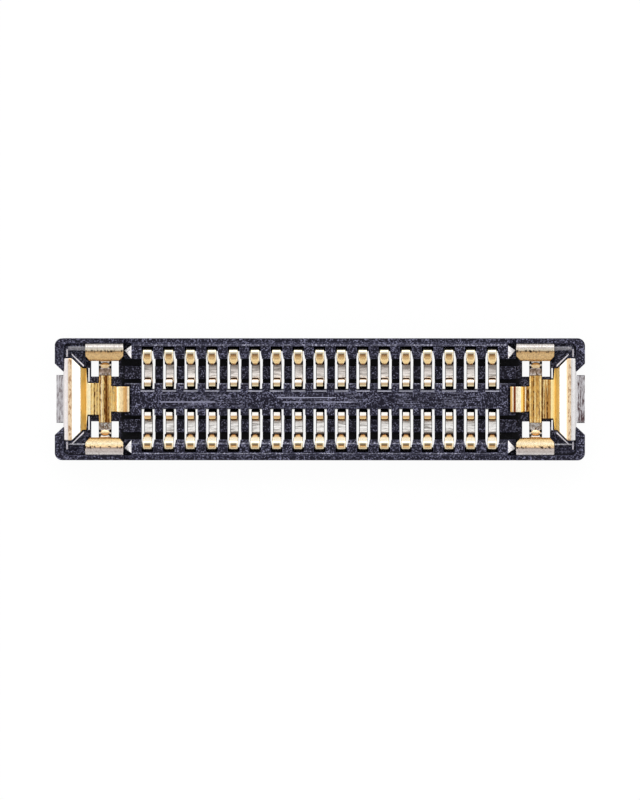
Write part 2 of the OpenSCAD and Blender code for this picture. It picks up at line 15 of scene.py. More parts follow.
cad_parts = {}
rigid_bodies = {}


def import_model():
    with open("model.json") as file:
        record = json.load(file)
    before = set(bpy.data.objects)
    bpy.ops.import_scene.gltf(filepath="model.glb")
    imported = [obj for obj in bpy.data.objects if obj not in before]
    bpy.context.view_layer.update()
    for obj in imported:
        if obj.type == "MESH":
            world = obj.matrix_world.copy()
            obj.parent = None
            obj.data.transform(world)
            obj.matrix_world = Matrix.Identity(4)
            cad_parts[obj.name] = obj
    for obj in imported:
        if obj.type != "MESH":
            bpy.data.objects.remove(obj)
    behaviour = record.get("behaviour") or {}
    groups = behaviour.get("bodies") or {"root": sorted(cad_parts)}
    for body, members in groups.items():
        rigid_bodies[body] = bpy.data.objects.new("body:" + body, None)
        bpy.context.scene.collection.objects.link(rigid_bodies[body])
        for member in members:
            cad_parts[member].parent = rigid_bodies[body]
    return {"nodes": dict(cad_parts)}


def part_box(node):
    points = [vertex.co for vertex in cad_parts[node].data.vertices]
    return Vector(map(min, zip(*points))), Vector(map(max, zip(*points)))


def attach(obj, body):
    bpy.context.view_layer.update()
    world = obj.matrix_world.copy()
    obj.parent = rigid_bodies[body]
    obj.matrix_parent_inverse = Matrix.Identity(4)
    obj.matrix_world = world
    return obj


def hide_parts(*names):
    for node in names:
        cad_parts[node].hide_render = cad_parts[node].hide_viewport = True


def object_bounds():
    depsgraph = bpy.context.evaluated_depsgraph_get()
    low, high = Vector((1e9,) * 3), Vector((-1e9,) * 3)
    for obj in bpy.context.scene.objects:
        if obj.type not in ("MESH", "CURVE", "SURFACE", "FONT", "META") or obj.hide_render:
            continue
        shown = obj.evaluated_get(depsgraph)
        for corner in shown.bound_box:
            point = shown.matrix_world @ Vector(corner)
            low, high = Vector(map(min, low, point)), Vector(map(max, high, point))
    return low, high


for leftover in list(bpy.data.objects):
    bpy.data.objects.remove(leftover)
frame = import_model()
frame_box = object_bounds()
MM = 0.001


def in_mm(corners):
    """Corners in millimetres, rounded for printing."""
    return [tuple(round(value / MM, 3) for value in corner) for corner in corners]


print("nodes:", len(frame["nodes"]), "box in mm:", in_mm(frame_box))

# %% [markdown]
# Node trees are wired with small helpers, so that a tree reads as a list of steps. Most
# steps are one node whose inputs are fed by name.

# %% Helpers for node trees


def add_node(tree, kind, **settings):
    """A new node of that kind with its properties set."""
    node = tree.nodes.new(kind)
    for name, value in settings.items():
        setattr(node, name, value)
    return node


def feed(socket, value):
    """Links an output into a socket, or types a plain value into it."""
    if isinstance(value, bpy.types.NodeSocket):
        socket.id_data.links.new(value, socket)
    else:
        socket.default_value = value


def tree_of(*values):
    """The node tree that the first output among the values belongs to."""
    return next(value.id_data for value in values if isinstance(value, bpy.types.NodeSocket))


def wire(kind, settings=None, **values):
    """The first output of a new node whose inputs are fed by name, with _ for a space."""
    node = add_node(tree_of(*values.values()), kind, **(settings or {}))
    for name, value in values.items():
        feed(node.inputs[name.replace("_", " ")], value)
    return node.outputs[0]


def in_order(kind, settings, *values):
    """The first output of a new node whose inputs are fed in their order."""
    node = add_node(tree_of(*values), kind, **settings)
    for socket, value in zip(node.inputs, values):
        feed(socket, value)
    return node.outputs[0]


def calc(operation, *values, clamp=False):
    """The result of a Math node."""
    return in_order("ShaderNodeMath", {"operation": operation, "use_clamp": clamp}, *values)


def vector_product(first, second):
    """Two vectors multiplied, part by part."""
    return in_order("ShaderNodeVectorMath", {"operation": "MULTIPLY"}, first, second)


def parts_of(vector):
    """The X, Y and Z outputs of a vector."""
    return wire("ShaderNodeSeparateXYZ", Vector=vector).node.outputs


def new_group(kind, name, inputs, outputs):
    """An empty node group with its sockets by name and kind, its given values and its result."""
    group = bpy.data.node_groups.new(name, kind)
    for in_out, sockets in (("INPUT", inputs), ("OUTPUT", outputs)):
        for label, socket in sockets.items():
            group.interface.new_socket(label, in_out=in_out, socket_type="NodeSocket" + socket)
    return group, add_node(group, "NodeGroupInput").outputs, add_node(group, "NodeGroupOutput").inputs


# %% [markdown]
# A mask is a value that is 1 where a mark lies and 0 elsewhere. Places, folds and grains all
# become masks first, and are then multiplied or laid over each other.

# %% Helpers for masks


def joined(operation, masks, clamp=False):
    """A row of masks joined one after another by a Math operation."""
    result = masks[0]
    for mask in masks[1:]:
        result = calc(operation, result, mask, clamp=clamp)
    return result


def product(*masks, clamp=False):
    """Several masks multiplied."""
    return joined("MULTIPLY", masks, clamp)


def highest(*masks):
    """The largest of several masks."""
    return joined("MAXIMUM", masks)


def ramp_between(value, low, high):
    """A smooth step from 0 at low to 1 at high."""
    return in_order("ShaderNodeMapRange", {"interpolation_type": "SMOOTHSTEP"}, value, low, high, 0.0, 1.0)


def inside(value, low, high, soft):
    """1 where the value lies between two limits, with soft ends."""
    rise = ramp_between(value, low - soft, low + soft)
    fall = ramp_between(value, high + soft, high - soft)
    return product(rise, fall)


def opposite(mask):
    """1 where the mask is 0."""
    return calc("SUBTRACT", 1.0, mask)


def rising(start, mask, factor):
    """A share that begins at start and rises by factor times the mask."""
    return calc("MULTIPLY_ADD", mask, factor, start)


def either(test, yes, no):
    """One value where the test is 1, and another where it is 0."""
    return calc("ADD", product(yes, test), product(no, opposite(test)))


def away_from(x, y, centre=(0.0, 0.0), unit=(1.0, 1.0)):
    """How far a place lies from a centre, in units that may differ along x and y."""
    squares = []
    for value, middle, one in zip((x, y), centre, unit):
        offset = calc("DIVIDE", calc("SUBTRACT", value, middle), one)
        squares.append(calc("POWER", offset, 2.0))
    return calc("SQRT", calc("ADD", *squares))


# %% [markdown]
# The contacts and the end fittings are strips of sheet metal, punched flat and then bent.
# One recipe makes them all: round the corners of a path, sweep a rounded flat section along
# it, and then pull its sides in or out by a width curve.
# A place on the path is called a station: 2 is the middle of bend 2, and 2.5 is halfway
# along the metal from there to the middle of bend 3.

# %% Stations along a bent strip


def bend_sizes(path, radius):
    """The straight length that each corner of the path takes, and the length of its arc."""
    sizes = [(0.0, 0.0)]
    for before, corner, after in zip(path, path[1:], path[2:]):
        turn = (Vector(corner) - Vector(before)).angle(Vector(after) - Vector(corner))
        sizes.append((radius * math.tan(turn / 2), radius * turn))
    return sizes + [(0.0, 0.0)]


def station_distances(path, radius):
    """The distance along the bent strip of the middle of each bend, both ends included."""
    sizes = bend_sizes(path, radius)
    distances = [0.0]
    for i in range(1, len(path)):
        straight = (Vector(path[i]) - Vector(path[i - 1])).length - sizes[i - 1][0] - sizes[i][0]
        distances.append(distances[-1] + sizes[i - 1][1] / 2 + straight + sizes[i][1] / 2)
    return distances


def share_of_strip(path, radius, station):
    """Where a station lies on the strip, from 0 at its start to 1 at its end."""
    distances = station_distances(path, radius)
    whole = min(int(station), len(path) - 2)
    place = distances[whole] + (station - whole) * (distances[whole + 1] - distances[whole])
    return place / distances[-1]


def along_curve(path, radius, points, along):
    """A value that runs straight between (station, value) points on the strip."""
    node = add_node(along.id_data, "ShaderNodeFloatCurve")
    curve = node.mapping.curves[0]
    places = [(share_of_strip(path, radius, station), value) for station, value in points]
    curve.points[0].location = places[0]
    curve.points[1].location = places[-1]
    for x, y in places[1:-1]:
        curve.points.new(x, y)
    for point in curve.points:
        point.handle_type = "VECTOR"
    node.mapping.update()
    feed(node.inputs["Value"], along)
    return node.outputs[0]


# %% [markdown]
# The path of a strip is a line of edges in the YZ plane, and its width runs along X. First
# the path and the flat section are rounded, and the section is swept along the path.
# Captured values remember where each point came from.

# %% Sweep the section along the path


def capture(geometry, kind, label, value):
    """Keeps a value with the geometry, and gives back both."""
    node = add_node(geometry.id_data, "GeometryNodeCaptureAttribute")
    node.capture_items.new(kind, label)
    feed(node.inputs["Geometry"], geometry)
    feed(node.inputs[label], value)
    return node.outputs["Geometry"], node.outputs[label]


def rounded_line(line, pieces, radius, spacing):
    """A line with its corners rounded and its points evenly spaced."""
    bent = wire("GeometryNodeFilletCurve", {"mode": "POLY"}, Curve=line, Count=pieces, Radius=radius)
    return wire("GeometryNodeResampleCurve", {"mode": "LENGTH"}, Curve=bent, Length=spacing)


def sweep_section(tree, given):
    """The swept strip, the place along it from 0 to 1, and the place on its section."""
    line = wire("GeometryNodeMeshToCurve", Mesh=given["Path"])
    even = rounded_line(line, 8, given["Bend radius"], given["Step"])
    flat = wire("GeometryNodeSetCurveNormal", {"mode": "FREE"}, Curve=even, Normal=(1.0, 0.0, 0.0))
    factor = add_node(tree, "GeometryNodeSplineParameter").outputs["Factor"]
    spine, along = capture(flat, "FLOAT", "Along", factor)
    width = product(given["Widest half"], 2.0)
    sheet = wire("GeometryNodeCurvePrimitiveQuadrilateral", Width=width, Height=given["Thickness"])
    ring = rounded_line(sheet, 2, given["Edge radius"], given["Step across"])
    position = add_node(tree, "GeometryNodeInputPosition").outputs[0]
    profile, section = capture(ring, "VECTOR", "Section", position)
    swept = wire("GeometryNodeCurveToMesh", Curve=spine, Profile_Curve=profile, Fill_Caps=True)
    return swept, along, section


# %% [markdown]
# Two width curves, one for each side, let a strip step to one side. A third curve presses a
# dent into the outer face, as the lock dents of the contacts are.

# %% Set the width and press the dent


def set_width(tree, given, strip, halves):
    """Pulls both sides in or out to their half widths. Gives the new place across too."""
    here = parts_of(add_node(tree, "GeometryNodeInputPosition").outputs[0])
    size = calc("ABSOLUTE", here["X"])
    half = either(calc("LESS_THAN", here["X"], 0.0), *halves)
    # The rounding at the edges keeps its size, and the flat part between them takes the change
    inner = calc("SUBTRACT", given["Widest half"], given["Edge radius"])
    stretch = calc("DIVIDE", calc("SUBTRACT", half, given["Edge radius"]), inner)
    edge_x = calc("SUBTRACT", half, calc("SUBTRACT", given["Widest half"], size))
    new_size = either(calc("GREATER_THAN", size, inner), edge_x, product(size, stretch))
    new_x = product(new_size, calc("SIGN", here["X"]))
    place = wire("ShaderNodeCombineXYZ", X=new_x, Y=here["Y"], Z=here["Z"])
    return wire("GeometryNodeSetPosition", Geometry=strip, Position=place), new_x


def press_dent(tree, given, strip, pressed, section, across):
    """Presses the outer face in. Gives the mask of the dent too, which the plating goes by."""
    top = product(given["Thickness"], 0.49)
    is_outer = calc("GREATER_THAN", section["Y"], top)
    full = product(given["Dent half"], 0.8)
    in_width = ramp_between(calc("ABSOLUTE", across), given["Dent half"], full)
    strip, mask = capture(strip, "FLOAT", "Mask", product(pressed, in_width, is_outer))
    normal = add_node(tree, "GeometryNodeInputNormal").outputs[0]
    push = vector_product(normal, product(mask, given["Dent depth"], -1.0))
    return wire("GeometryNodeSetPosition", Geometry=strip, Offset=push), mask


# %% [markdown]
# The tree stores how far along the strip a point lies, how far across, and how deep it is in
# a dent, because the plating changes with them. The result is kept as a plain mesh.

# %% The tree of a formed strip and its mesh
strip_sizes = (
    "Thickness", "Bend radius", "Edge radius", "Widest half",
    "Step", "Step across", "Dent depth", "Dent half",
)
strip_step = 0.012


def widest_half(sides):
    """The largest half width that a strip has."""
    return max(width for side in sides for _, width in side)


def strip_tree(name, path, radius, sides, dent):
    """Builds the tree. sides holds two lists of (station, half width), dent one of (station, depth)."""
    inputs = {"Path": "Geometry", **dict.fromkeys(strip_sizes, "Float"), "Finish": "Material"}
    tree, given, result = new_group("GeometryNodeTree", name, inputs, {"Strip": "Geometry"})
    strip, along, section = sweep_section(tree, given)
    widest = widest_half(sides)
    halves = []
    for side in sides:
        share = along_curve(path, radius, [(s, width / widest) for s, width in side], along)
        halves.append(product(share, widest * MM))
    strip, across = set_width(tree, given, strip, halves)
    pressed = along_curve(path, radius, dent, along)
    section = parts_of(section)
    strip, mask = press_dent(tree, given, strip, pressed, section, across)

    from_middle = calc("DIVIDE", calc("ABSOLUTE", section["X"]), given["Widest half"])
    for label, value in (("along", along), ("dent", mask), ("across", from_middle)):
        strip = wire("GeometryNodeStoreNamedAttribute", Geometry=strip, Name=label, Value=value)
    smooth = wire("GeometryNodeSetShadeSmooth", Geometry=strip)
    real = wire("GeometryNodeRealizeInstances", Geometry=smooth)
    coated = wire("GeometryNodeSetMaterial", Geometry=real, Material=given["Finish"])
    feed(result["Strip"], coated)
    return tree


def add_object(name, data):
    """A new object in the scene."""
    thing = bpy.data.objects.new(name, data)
    bpy.context.scene.collection.objects.link(thing)
    return thing


def plain_mesh(name, holders):
    """The shape of the first holder with its modifiers applied. All the holders go."""
    bpy.context.view_layer.update()
    graph = bpy.context.evaluated_depsgraph_get()
    mesh = bpy.data.meshes.new_from_object(holders[0].evaluated_get(graph))
    for holder in holders:
        bpy.data.objects.remove(holder)
    mesh.name = name
    return mesh


def bend_strip(name, path, radius, thickness, edge, sides, finish, dent, dent_depth=0.0, dent_half=0.045):
    """A plain mesh of the strip, with its width along X and its path in the YZ plane."""
    line = bpy.data.meshes.new(name)
    corners = [(0.0, y * MM, z * MM) for y, z in path]
    line.from_pydata(corners, [(i, i + 1) for i in range(len(path) - 1)], [])
    holder = add_object(name, line)
    modifier = holder.modifiers.new("Formed strip", "NODES")
    modifier.node_group = strip_tree(name, path, radius, sides, dent)
    lengths = (
        thickness, radius, edge, widest_half(sides), strip_step, 0.85 * strip_step, dent_depth, dent_half,
    )
    values = {label: length * MM for label, length in zip(strip_sizes, lengths)}
    values["Finish"] = finish
    for item in modifier.node_group.interface.items_tree:
        if item.in_out == "INPUT" and item.name in values:
            modifier[item.identifier] = values[item.name]
    return plain_mesh(name, [holder])


# %% [markdown]
# Each finished mesh is measured as it is made. A volume above zero says that its faces point
# outward, and a closed mesh has no open edge.

# %% Measure a mesh


def report_mesh(mesh):
    """Prints how large, how fine and how tight a mesh is."""
    spans = [[vertex.co[k] for vertex in mesh.vertices] for k in range(3)]
    box = in_mm([[min(span) for span in spans], [max(span) for span in spans]])
    triangles = sum(len(face.vertices) - 2 for face in mesh.polygons)
    work = bmesh.new()
    work.from_mesh(mesh)
    volume = work.calc_volume(signed=True) / MM**3
    open_edges = sum(1 for edge in work.edges if not edge.is_manifold)
    work.free()
    print(mesh.name, "box", box, triangles, "triangles, volume", round(volume, 5), "open edges", open_edges)


# %% [markdown]
# Every finish works in millimetres: the Object coordinates of a piece, times a thousand.
# Rolled sheet has fine lines along the rolling direction and tiny pits, and moulded plastic
# has a dense grain of light specks. Both are node groups, which the finishes use with their
# own values.

# %% Noise and groups


def noise(vector, scale, detail=2.0, roughness=0.5):
    """The value of a noise texture."""
    return wire("ShaderNodeTexNoise", Vector=vector, Scale=scale, Detail=detail, Roughness=roughness)


def cells(vector, scale):
    """A random value from 0 to 1 for each small cell of the surface."""
    node = wire("ShaderNodeTexVoronoi", Vector=vector, Scale=scale).node
    return parts_of(node.outputs["Color"])["X"]


def rolled_sheet_group():
    """Fine lines, pits and flecks of rolled and plated sheet, stretched by the input vector."""
    inputs = {"Place": "Vector", "Stretch": "Vector", "Fineness": "Float"}
    outputs = dict.fromkeys(("Lines", "Pits", "Flecks", "Cells"), "Float")
    group, given, result = new_group("ShaderNodeTree", "rolled_sheet", inputs, outputs)
    place, fineness = given["Place"], given["Fineness"]
    stretched = vector_product(place, given["Stretch"])
    lines = noise(stretched, fineness, 3.0, 0.6)
    pits = noise(place, product(fineness, 2.3), 1.0)
    shares = cells(stretched, fineness)
    ramps = (("Lines", lines, 0.38, 0.62), ("Pits", pits, 0.5, 0.66), ("Flecks", shares, 0.55, 0.85))
    for label, value, low, high in ramps:
        feed(result[label], ramp_between(value, low, high))
    feed(result["Cells"], shares)
    return group


def moulded_grain_group():
    """Light specks, a soft mottling and thin flow lines along X, as glass-filled plastic shows."""
    inputs = {"Place": "Vector", "Fineness": "Float"}
    outputs = dict.fromkeys(("Specks", "Mottling", "Flow", "Relief"), "Float")
    group, given, result = new_group("ShaderNodeTree", "moulded_grain", inputs, outputs)
    place, fineness = given["Place"], given["Fineness"]
    fine = noise(place, fineness, 2.0, 0.75)
    grains = cells(place, product(fineness, 1.8))
    coarse = noise(place, product(fineness, 0.16))
    flow = noise(vector_product(place, (0.05, 1.0, 0.0)), product(fineness, 1.5), 1.0)
    ramps = (("Specks", grains, 0.64, 0.94), ("Mottling", coarse, 0.35, 0.65), ("Flow", flow, 0.54, 0.66))
    for label, value, low, high in ramps:
        feed(result[label], ramp_between(value, low, high))
    feed(result["Relief"], fine)
    return group


rolled_sheet = rolled_sheet_group()
moulded_grain = moulded_grain_group()
for made in (rolled_sheet, moulded_grain):
    print("group", made.name, "gives", [s.name for s in made.interface.items_tree if s.in_out == "OUTPUT"])


def use_group(group, place, **values):
    """The outputs of a node group whose inputs are fed by name."""
    return wire("ShaderNodeGroup", {"node_tree": group}, Place=place, **values).node.outputs


# %% [markdown]
# Colours are written as they look on screen and turned into the linear values that Blender
# wants. A finish is a material with one Principled shader, whose colour, roughness and
# relief come from the masks.

# %% Colours and finishes


def srgb(red, green, blue):
    """A colour written as it looks on screen, 0 to 255, as linear values."""
    def linear(value):
        value = value / 255
        return value / 12.92 if value <= 0.04045 else ((value + 0.055) / 1.055) ** 2.4
    return (linear(red), linear(green), linear(blue), 1.0)


def mix_colour(share, first, second):
    """A colour between two, by a share from 0 to 1."""
    node = add_node(share.id_data, "ShaderNodeMix", data_type="RGBA")
    feed(node.inputs["Factor"], share)
    feed(node.inputs[6], first)
    feed(node.inputs[7], second)
    return node.outputs[2]


def colour_ramp(value, stops, low, high):
    """Colours by (place, linear colour) stops along a value that runs from low to high."""
    node = add_node(value.id_data, "ShaderNodeValToRGB")
    elements = node.color_ramp.elements
    for i, (place, colour) in enumerate(stops):
        element = elements[i] if i < 2 else elements.new(1.0)
        element.position = (place - low) / (high - low)
        element.color = colour
    feed(node.inputs[0], calc("DIVIDE", calc("SUBTRACT", value, low), high - low))
    return node.outputs["Color"]


def screen_ramp(value, stops, low, high):
    """The same by stops of a place and the red, green and blue that show on screen."""
    return colour_ramp(value, [(place, srgb(*colour)) for place, *colour in stops], low, high)


def attribute(finish, name):
    """A value that the strip's tree stored on the mesh."""
    return add_node(finish.node_tree, "ShaderNodeAttribute", attribute_name=name).outputs["Fac"]


def new_finish(name, metallic, roughness):
    """A material with its Principled shader, its place in millimetres and that place's parts."""
    finish = bpy.data.materials.new(name)
    finish.use_nodes = True
    tree = finish.node_tree
    shader = tree.nodes["Principled BSDF"]
    shader.inputs["Metallic"].default_value = metallic
    shader.inputs["Roughness"].default_value = roughness
    place = vector_product(add_node(tree, "ShaderNodeTexCoord").outputs["Object"], (1 / MM, 1 / MM, 1 / MM))
    return finish, shader, place, parts_of(place)


def relief(shader, height, depth_um, strength):
    """Bumps the surface by a height of 0 to 1, whose full depth is given in micrometres."""
    bumped = wire("ShaderNodeBump", Height=height, Distance=depth_um * 1e-6, Strength=strength)
    feed(shader.inputs["Normal"], bumped)


def report_finish(finish):
    """Prints how many nodes a finish has."""
    print("finish", finish.name, "of", len(finish.node_tree.nodes), "nodes")


# %% [markdown]
# Each contact starts at its solder tail, climbs outside the wall, turns over it as the cap,
# and comes down as the outer spring. It runs along the bottom and rises again as the inner
# spring arm, whose bump touches the plug.

# %% The contact's shape
contact_path = [
    (0.96, 0.025), (0.804, 0.025), (0.804, 0.515), (0.702, 0.515), (0.58, 0.412), (0.625, 0.055),
    (0.192, 0.055), (0.192, 0.155), (0.332, 0.34), (0.302, 0.396), (0.215, 0.384),
]
contact_bend = 0.042
contact_sheet = 0.05
contact_edge = 0.008
contact_side = [
    (0, 0.075), (1.22, 0.075), (1.24, 0.096), (1.55, 0.096), (1.57, 0.075), (1.95, 0.072), (2.3, 0.075),
    (3.5, 0.075), (3.85, 0.05), (4.0, 0.028), (4.1, 0.028), (4.16, 0.074), (4.9, 0.074), (5.05, 0.07),
    (7.4, 0.07), (7.7, 0.056), (10, 0.056),
]
# The lock dent of the back row lies nearer to the nose than that of the front row
contact_dents = {
    "a": [(0, 0), (2.58, 0), (2.64, 1), (3.22, 0.8), (3.34, 0), (10, 0)],
    "b": [(0, 0), (2.2, 0), (2.28, 1), (2.72, 0.9), (2.78, 0), (10, 0)],
}
print("contact strip of", round(station_distances(contact_path, contact_bend)[-1], 3), "mm, cut flat")

# %% [markdown]
# The contacts are copper alloy with nickel all over and gold where they touch or are
# soldered. So the colour goes by the place along the strip: a pale cap, a browner dent,
# a gold nose, a grey nickel bottom with fine cross lines, and a gold inner arm. The lists
# also hold painted light: white painted highlights on the bends, black painted shade under
# the nose and along the riser, and a nickel bottom painted brighter and darker along its
# length as the light falls. Each row has its own list, because the rows are lit from
# different sides.

# %% The contact's plating and painted light by station
back_plating_and_light = [
    (1.7, 206, 196, 170), (2.3, 230, 222, 196), (2.6, 240, 231, 204), (2.9, 246, 224, 182),
    (3.2, 250, 216, 162), (3.9, 255, 226, 166), (4.0, 214, 160, 104), (4.08, 92, 60, 36),
    (4.14, 10, 7, 6), (4.28, 10, 7, 6), (4.36, 190, 144, 88), (4.8, 206, 176, 138), (4.9, 14, 10, 9),
    (5.08, 96, 86, 80), (5.15, 152, 142, 136), (5.45, 238, 230, 224), (5.6, 255, 248, 242),
    (5.68, 255, 240, 220), (5.9, 196, 146, 88), (6.3, 120, 78, 42), (6.6, 10, 8, 8), (7.2, 10, 8, 8),
    (7.35, 206, 162, 104), (7.9, 244, 220, 186), (8.2, 150, 106, 70), (8.75, 176, 126, 84),
    (8.95, 255, 246, 232), (9.3, 255, 248, 236), (9.42, 226, 192, 150), (9.7, 226, 194, 150),
    (9.8, 255, 243, 204), (10.0, 255, 236, 190),
]
front_plating_and_light = [
    (1.7, 246, 222, 176), (2.3, 246, 228, 188), (2.9, 240, 230, 198), (3.2, 230, 222, 204),
    (3.5, 228, 214, 184), (3.7, 212, 176, 126), (3.88, 198, 150, 100), (3.96, 140, 86, 46),
    (4.08, 60, 34, 20), (4.14, 14, 9, 7), (4.28, 14, 9, 7), (4.36, 190, 144, 88), (4.8, 206, 176, 138),
    (4.9, 18, 12, 10), (5.05, 60, 50, 44), (5.16, 84, 76, 70), (5.2, 255, 252, 249),
    (5.5, 248, 245, 242), (5.58, 220, 214, 208), (5.64, 164, 150, 136), (5.72, 104, 82, 62),
    (6.1, 10, 8, 8), (7.2, 10, 8, 8), (7.35, 206, 162, 104), (7.9, 140, 96, 56), (8.2, 150, 100, 56),
    (8.6, 240, 200, 140), (8.95, 255, 224, 164), (9.2, 238, 192, 132), (9.3, 170, 120, 76),
    (9.38, 250, 243, 234), (10.0, 252, 246, 238),
]
# Painted shade in the lock dent of each row, by station
back_dent_shade = [(2.56, 56, 30, 12), (2.66, 108, 66, 32), (2.9, 172, 126, 72), (3.3, 226, 188, 130)]
front_dent_shade = [(2.25, 204, 160, 98), (2.5, 160, 116, 62), (2.66, 84, 50, 20), (2.76, 44, 24, 8)]
# The first and last station of each part, and how soft its ends are
contact_parts = {"cap": (2.3, 3.9, 0.004), "nose": (3.6, 4.0, 0.006), "nickel": (5.12, 5.66, 0.004)}
print("stops of the plating:", len(back_plating_and_light), "in the back row,", len(front_plating_and_light), "in the front row")

# %% The contact's finish


def contact_share(station):
    """Where a station lies on the contact's strip, from 0 to 1."""
    return share_of_strip(contact_path, contact_bend, station)


def along_contact(along, stops):
    """Colours by station along a contact."""
    return screen_ramp(along, [(contact_share(station), *colour) for station, *colour in stops], 0.0, 1.0)


def on_part(along, part):
    """The mask of a part of the contact."""
    first, last, soft = contact_parts[part]
    return inside(along, contact_share(first), contact_share(last), soft)


def contact_finish():
    """Gold, nickel and painted light by the place along the strip, for the row that a contact stands in."""
    finish, shader, place, axis = new_finish("contact_plating_and_light", 1.0, 0.22)
    in_back = calc("GREATER_THAN", axis["Y"], 0.0)
    along, across, pressed = (attribute(finish, name) for name in ("along", "across", "dent"))
    colour = mix_colour(in_back, along_contact(along, front_plating_and_light), along_contact(along, back_plating_and_light))
    # Both edges of the cap are a paler gold
    pale_cap_edges = product(ramp_between(across, 0.66, 0.82), on_part(along, "cap"), 0.75)
    colour = mix_colour(pale_cap_edges, colour, srgb(255, 238, 204))
    # Painted shade on both corners of the front row's nose
    corner = product(on_part(along, "nose"), ramp_between(across, 0.5, 0.8), opposite(in_back), 0.85)
    colour = mix_colour(corner, colour, srgb(84, 50, 26))
    # Painted shade in the dent: brown, and darkest at the end that faces away from the light
    dent = mix_colour(in_back, along_contact(along, front_dent_shade), along_contact(along, back_dent_shade))
    colour = mix_colour(pressed, colour, dent)
    # Painted shade along the dent's sloping sides, fading out before its end
    before_end = ramp_between(along, contact_share(3.22), contact_share(3.1))
    side = product(inside(pressed, 0.2, 0.7, 0.1), 0.5, before_end)
    colour = mix_colour(side, colour, srgb(112, 76, 44))
    # Rolled lines run across the strip, and show most on the bare nickel
    marks = use_group(rolled_sheet, place, Stretch=(0.12, 1.0, 1.0), Fineness=44.0)
    broad = use_group(rolled_sheet, place, Stretch=(0.3, 1.0, 1.0), Fineness=9.0)
    share = rising(0.1, on_part(along, "nickel"), 0.55)
    share = product(share, rising(0.35, broad["Lines"], 0.9), marks["Lines"])
    feed(shader.inputs["Base Color"], mix_colour(share, colour, srgb(100, 92, 84)))
    feed(shader.inputs["Roughness"], rising(0.16, marks["Pits"], 0.2))
    relief(shader, marks["Lines"], 1.0, 0.4)
    return finish


contact_metal = contact_finish()
report_finish(contact_metal)

# %% [markdown]
# One mesh is bent for each row, because their lock dents lie at different stations.

# %% Bend one contact of each row
contact_meshes = {}
for row, dent in contact_dents.items():
    contact_meshes[row] = bend_strip(
        "contact_" + row, contact_path, contact_bend, contact_sheet, contact_edge, [contact_side] * 2,
        contact_metal, dent, dent_depth=0.02, dent_half=0.041,
    )
    report_mesh(contact_meshes[row])

# %% [markdown]
# Each contact is a copy of that mesh, put where its solid stands in the frame. The second
# row is the first one turned half round.

# %% Place the contacts


def add_piece(name, mesh, nodes):
    """Makes a mesh a piece of the object that stands for CAD nodes and rides with them."""
    piece = add_object(name, mesh)
    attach(piece, "root")
    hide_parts(*nodes)


contact_nodes = sorted(name for name in frame["nodes"] if name.startswith("contact_"))
for node_name in contact_nodes:
    low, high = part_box(node_name)
    in_front = high.y < 0
    turn = Matrix.Rotation(math.pi if in_front else 0.0, 4, "Z")
    mesh = contact_meshes["b" if in_front else "a"].copy()
    mesh.transform(Matrix.Translation(((low.x + high.x) / 2, 0.0, 0.0)) @ turn)
    add_piece(node_name + "_formed", mesh, [node_name])
print("contacts placed:", len(contact_nodes))

# %% [markdown]
# A power fitting is one stamped sheet. Its end plate starts as a solder tab, rises outside
# the housing's end, comes down a slope to a foot, runs on as a pan and hooks over the
# island. A cross beam carries a side leaf at each end. Each leaf and half of the beam are
# bent as one strip.

# %% The fitting's strips
fitting_bend = 0.05
fitting_sheet = 0.06
fitting_edge = 0.01
plate_path = [
    (4.303, 0.03), (4.137, 0.03), (4.137, 0.54), (4.034, 0.54), (3.901, 0.465),
    (3.8505, 0.13), (3.296, 0.13), (3.296, 0.44), (3.096, 0.44),
]
pan_halves = {"left": 0.262, "right": 0.32}
leaf_path = [
    (0.0, 0.129), (0.65, 0.129), (0.65, 0.44), (0.784, 0.54), (0.884, 0.54), (0.884, 0.03), (0.96, 0.03),
]
leaf_middle = 3.499
leaf_side = [(1.9, 0.251), (2.0, 0.251), (2.45, 0.311), (4.82, 0.311), (4.84, 0.2), (6, 0.2)]
leaf_sides = [[(0, half), (1.86, half)] + leaf_side for half in (0.1, 0.11)]
beam_middle = 3.504


def plate_side(pan_half):
    """Half widths along the end plate: tab, plate, tapering slope, foot, pan and hook."""
    return [
        (0, 0.39), (1.17, 0.39), (1.19, 0.668), (3.0, 0.668), (4.1, 0.505), (5.06, 0.505), (5.08, pan_half),
        (5.73, pan_half), (5.81, 0.209), (8, 0.209),
    ]


for label, path in (("end plate", plate_path), ("side leaf", leaf_path)):
    print(label, "of", round(station_distances(path, fitting_bend)[-1], 3), "mm, cut flat")

# %% [markdown]
# The fitting's gold runs from the crest down into the pan and up the hook. The lists also
# hold painted light: pale painted highlights on the slopes and bends, and a dark line of
# painted shade at each fold. The two ends differ, so each has its own list of colours by
# the distance from the middle of the connector.

# %% Gold and painted light along the end plate
right_gold_and_light = [
    (3.08, 206, 158, 84), (3.125, 232, 190, 116), (3.133, 255, 246, 222), (3.143, 255, 240, 206),
    (3.149, 116, 40, 10), (3.18, 122, 46, 14), (3.188, 255, 244, 216), (3.262, 255, 246, 222),
    (3.27, 246, 206, 116), (3.315, 240, 200, 112), (3.322, 255, 250, 234), (3.346, 255, 248, 226),
    (3.352, 176, 124, 58), (3.375, 224, 174, 92), (3.50, 218, 168, 86), (3.60, 236, 190, 108),
    (3.615, 110, 72, 26), (3.635, 250, 224, 160), (3.65, 196, 146, 76), (3.745, 200, 150, 80),
    (3.757, 255, 238, 180), (3.80, 255, 226, 150), (3.815, 255, 204, 96), (3.876, 255, 214, 120),
    (3.90, 255, 250, 236), (3.995, 255, 253, 248), (4.015, 232, 202, 160), (4.07, 236, 212, 180),
    (4.085, 219, 217, 216), (4.17, 212, 211, 213),
]
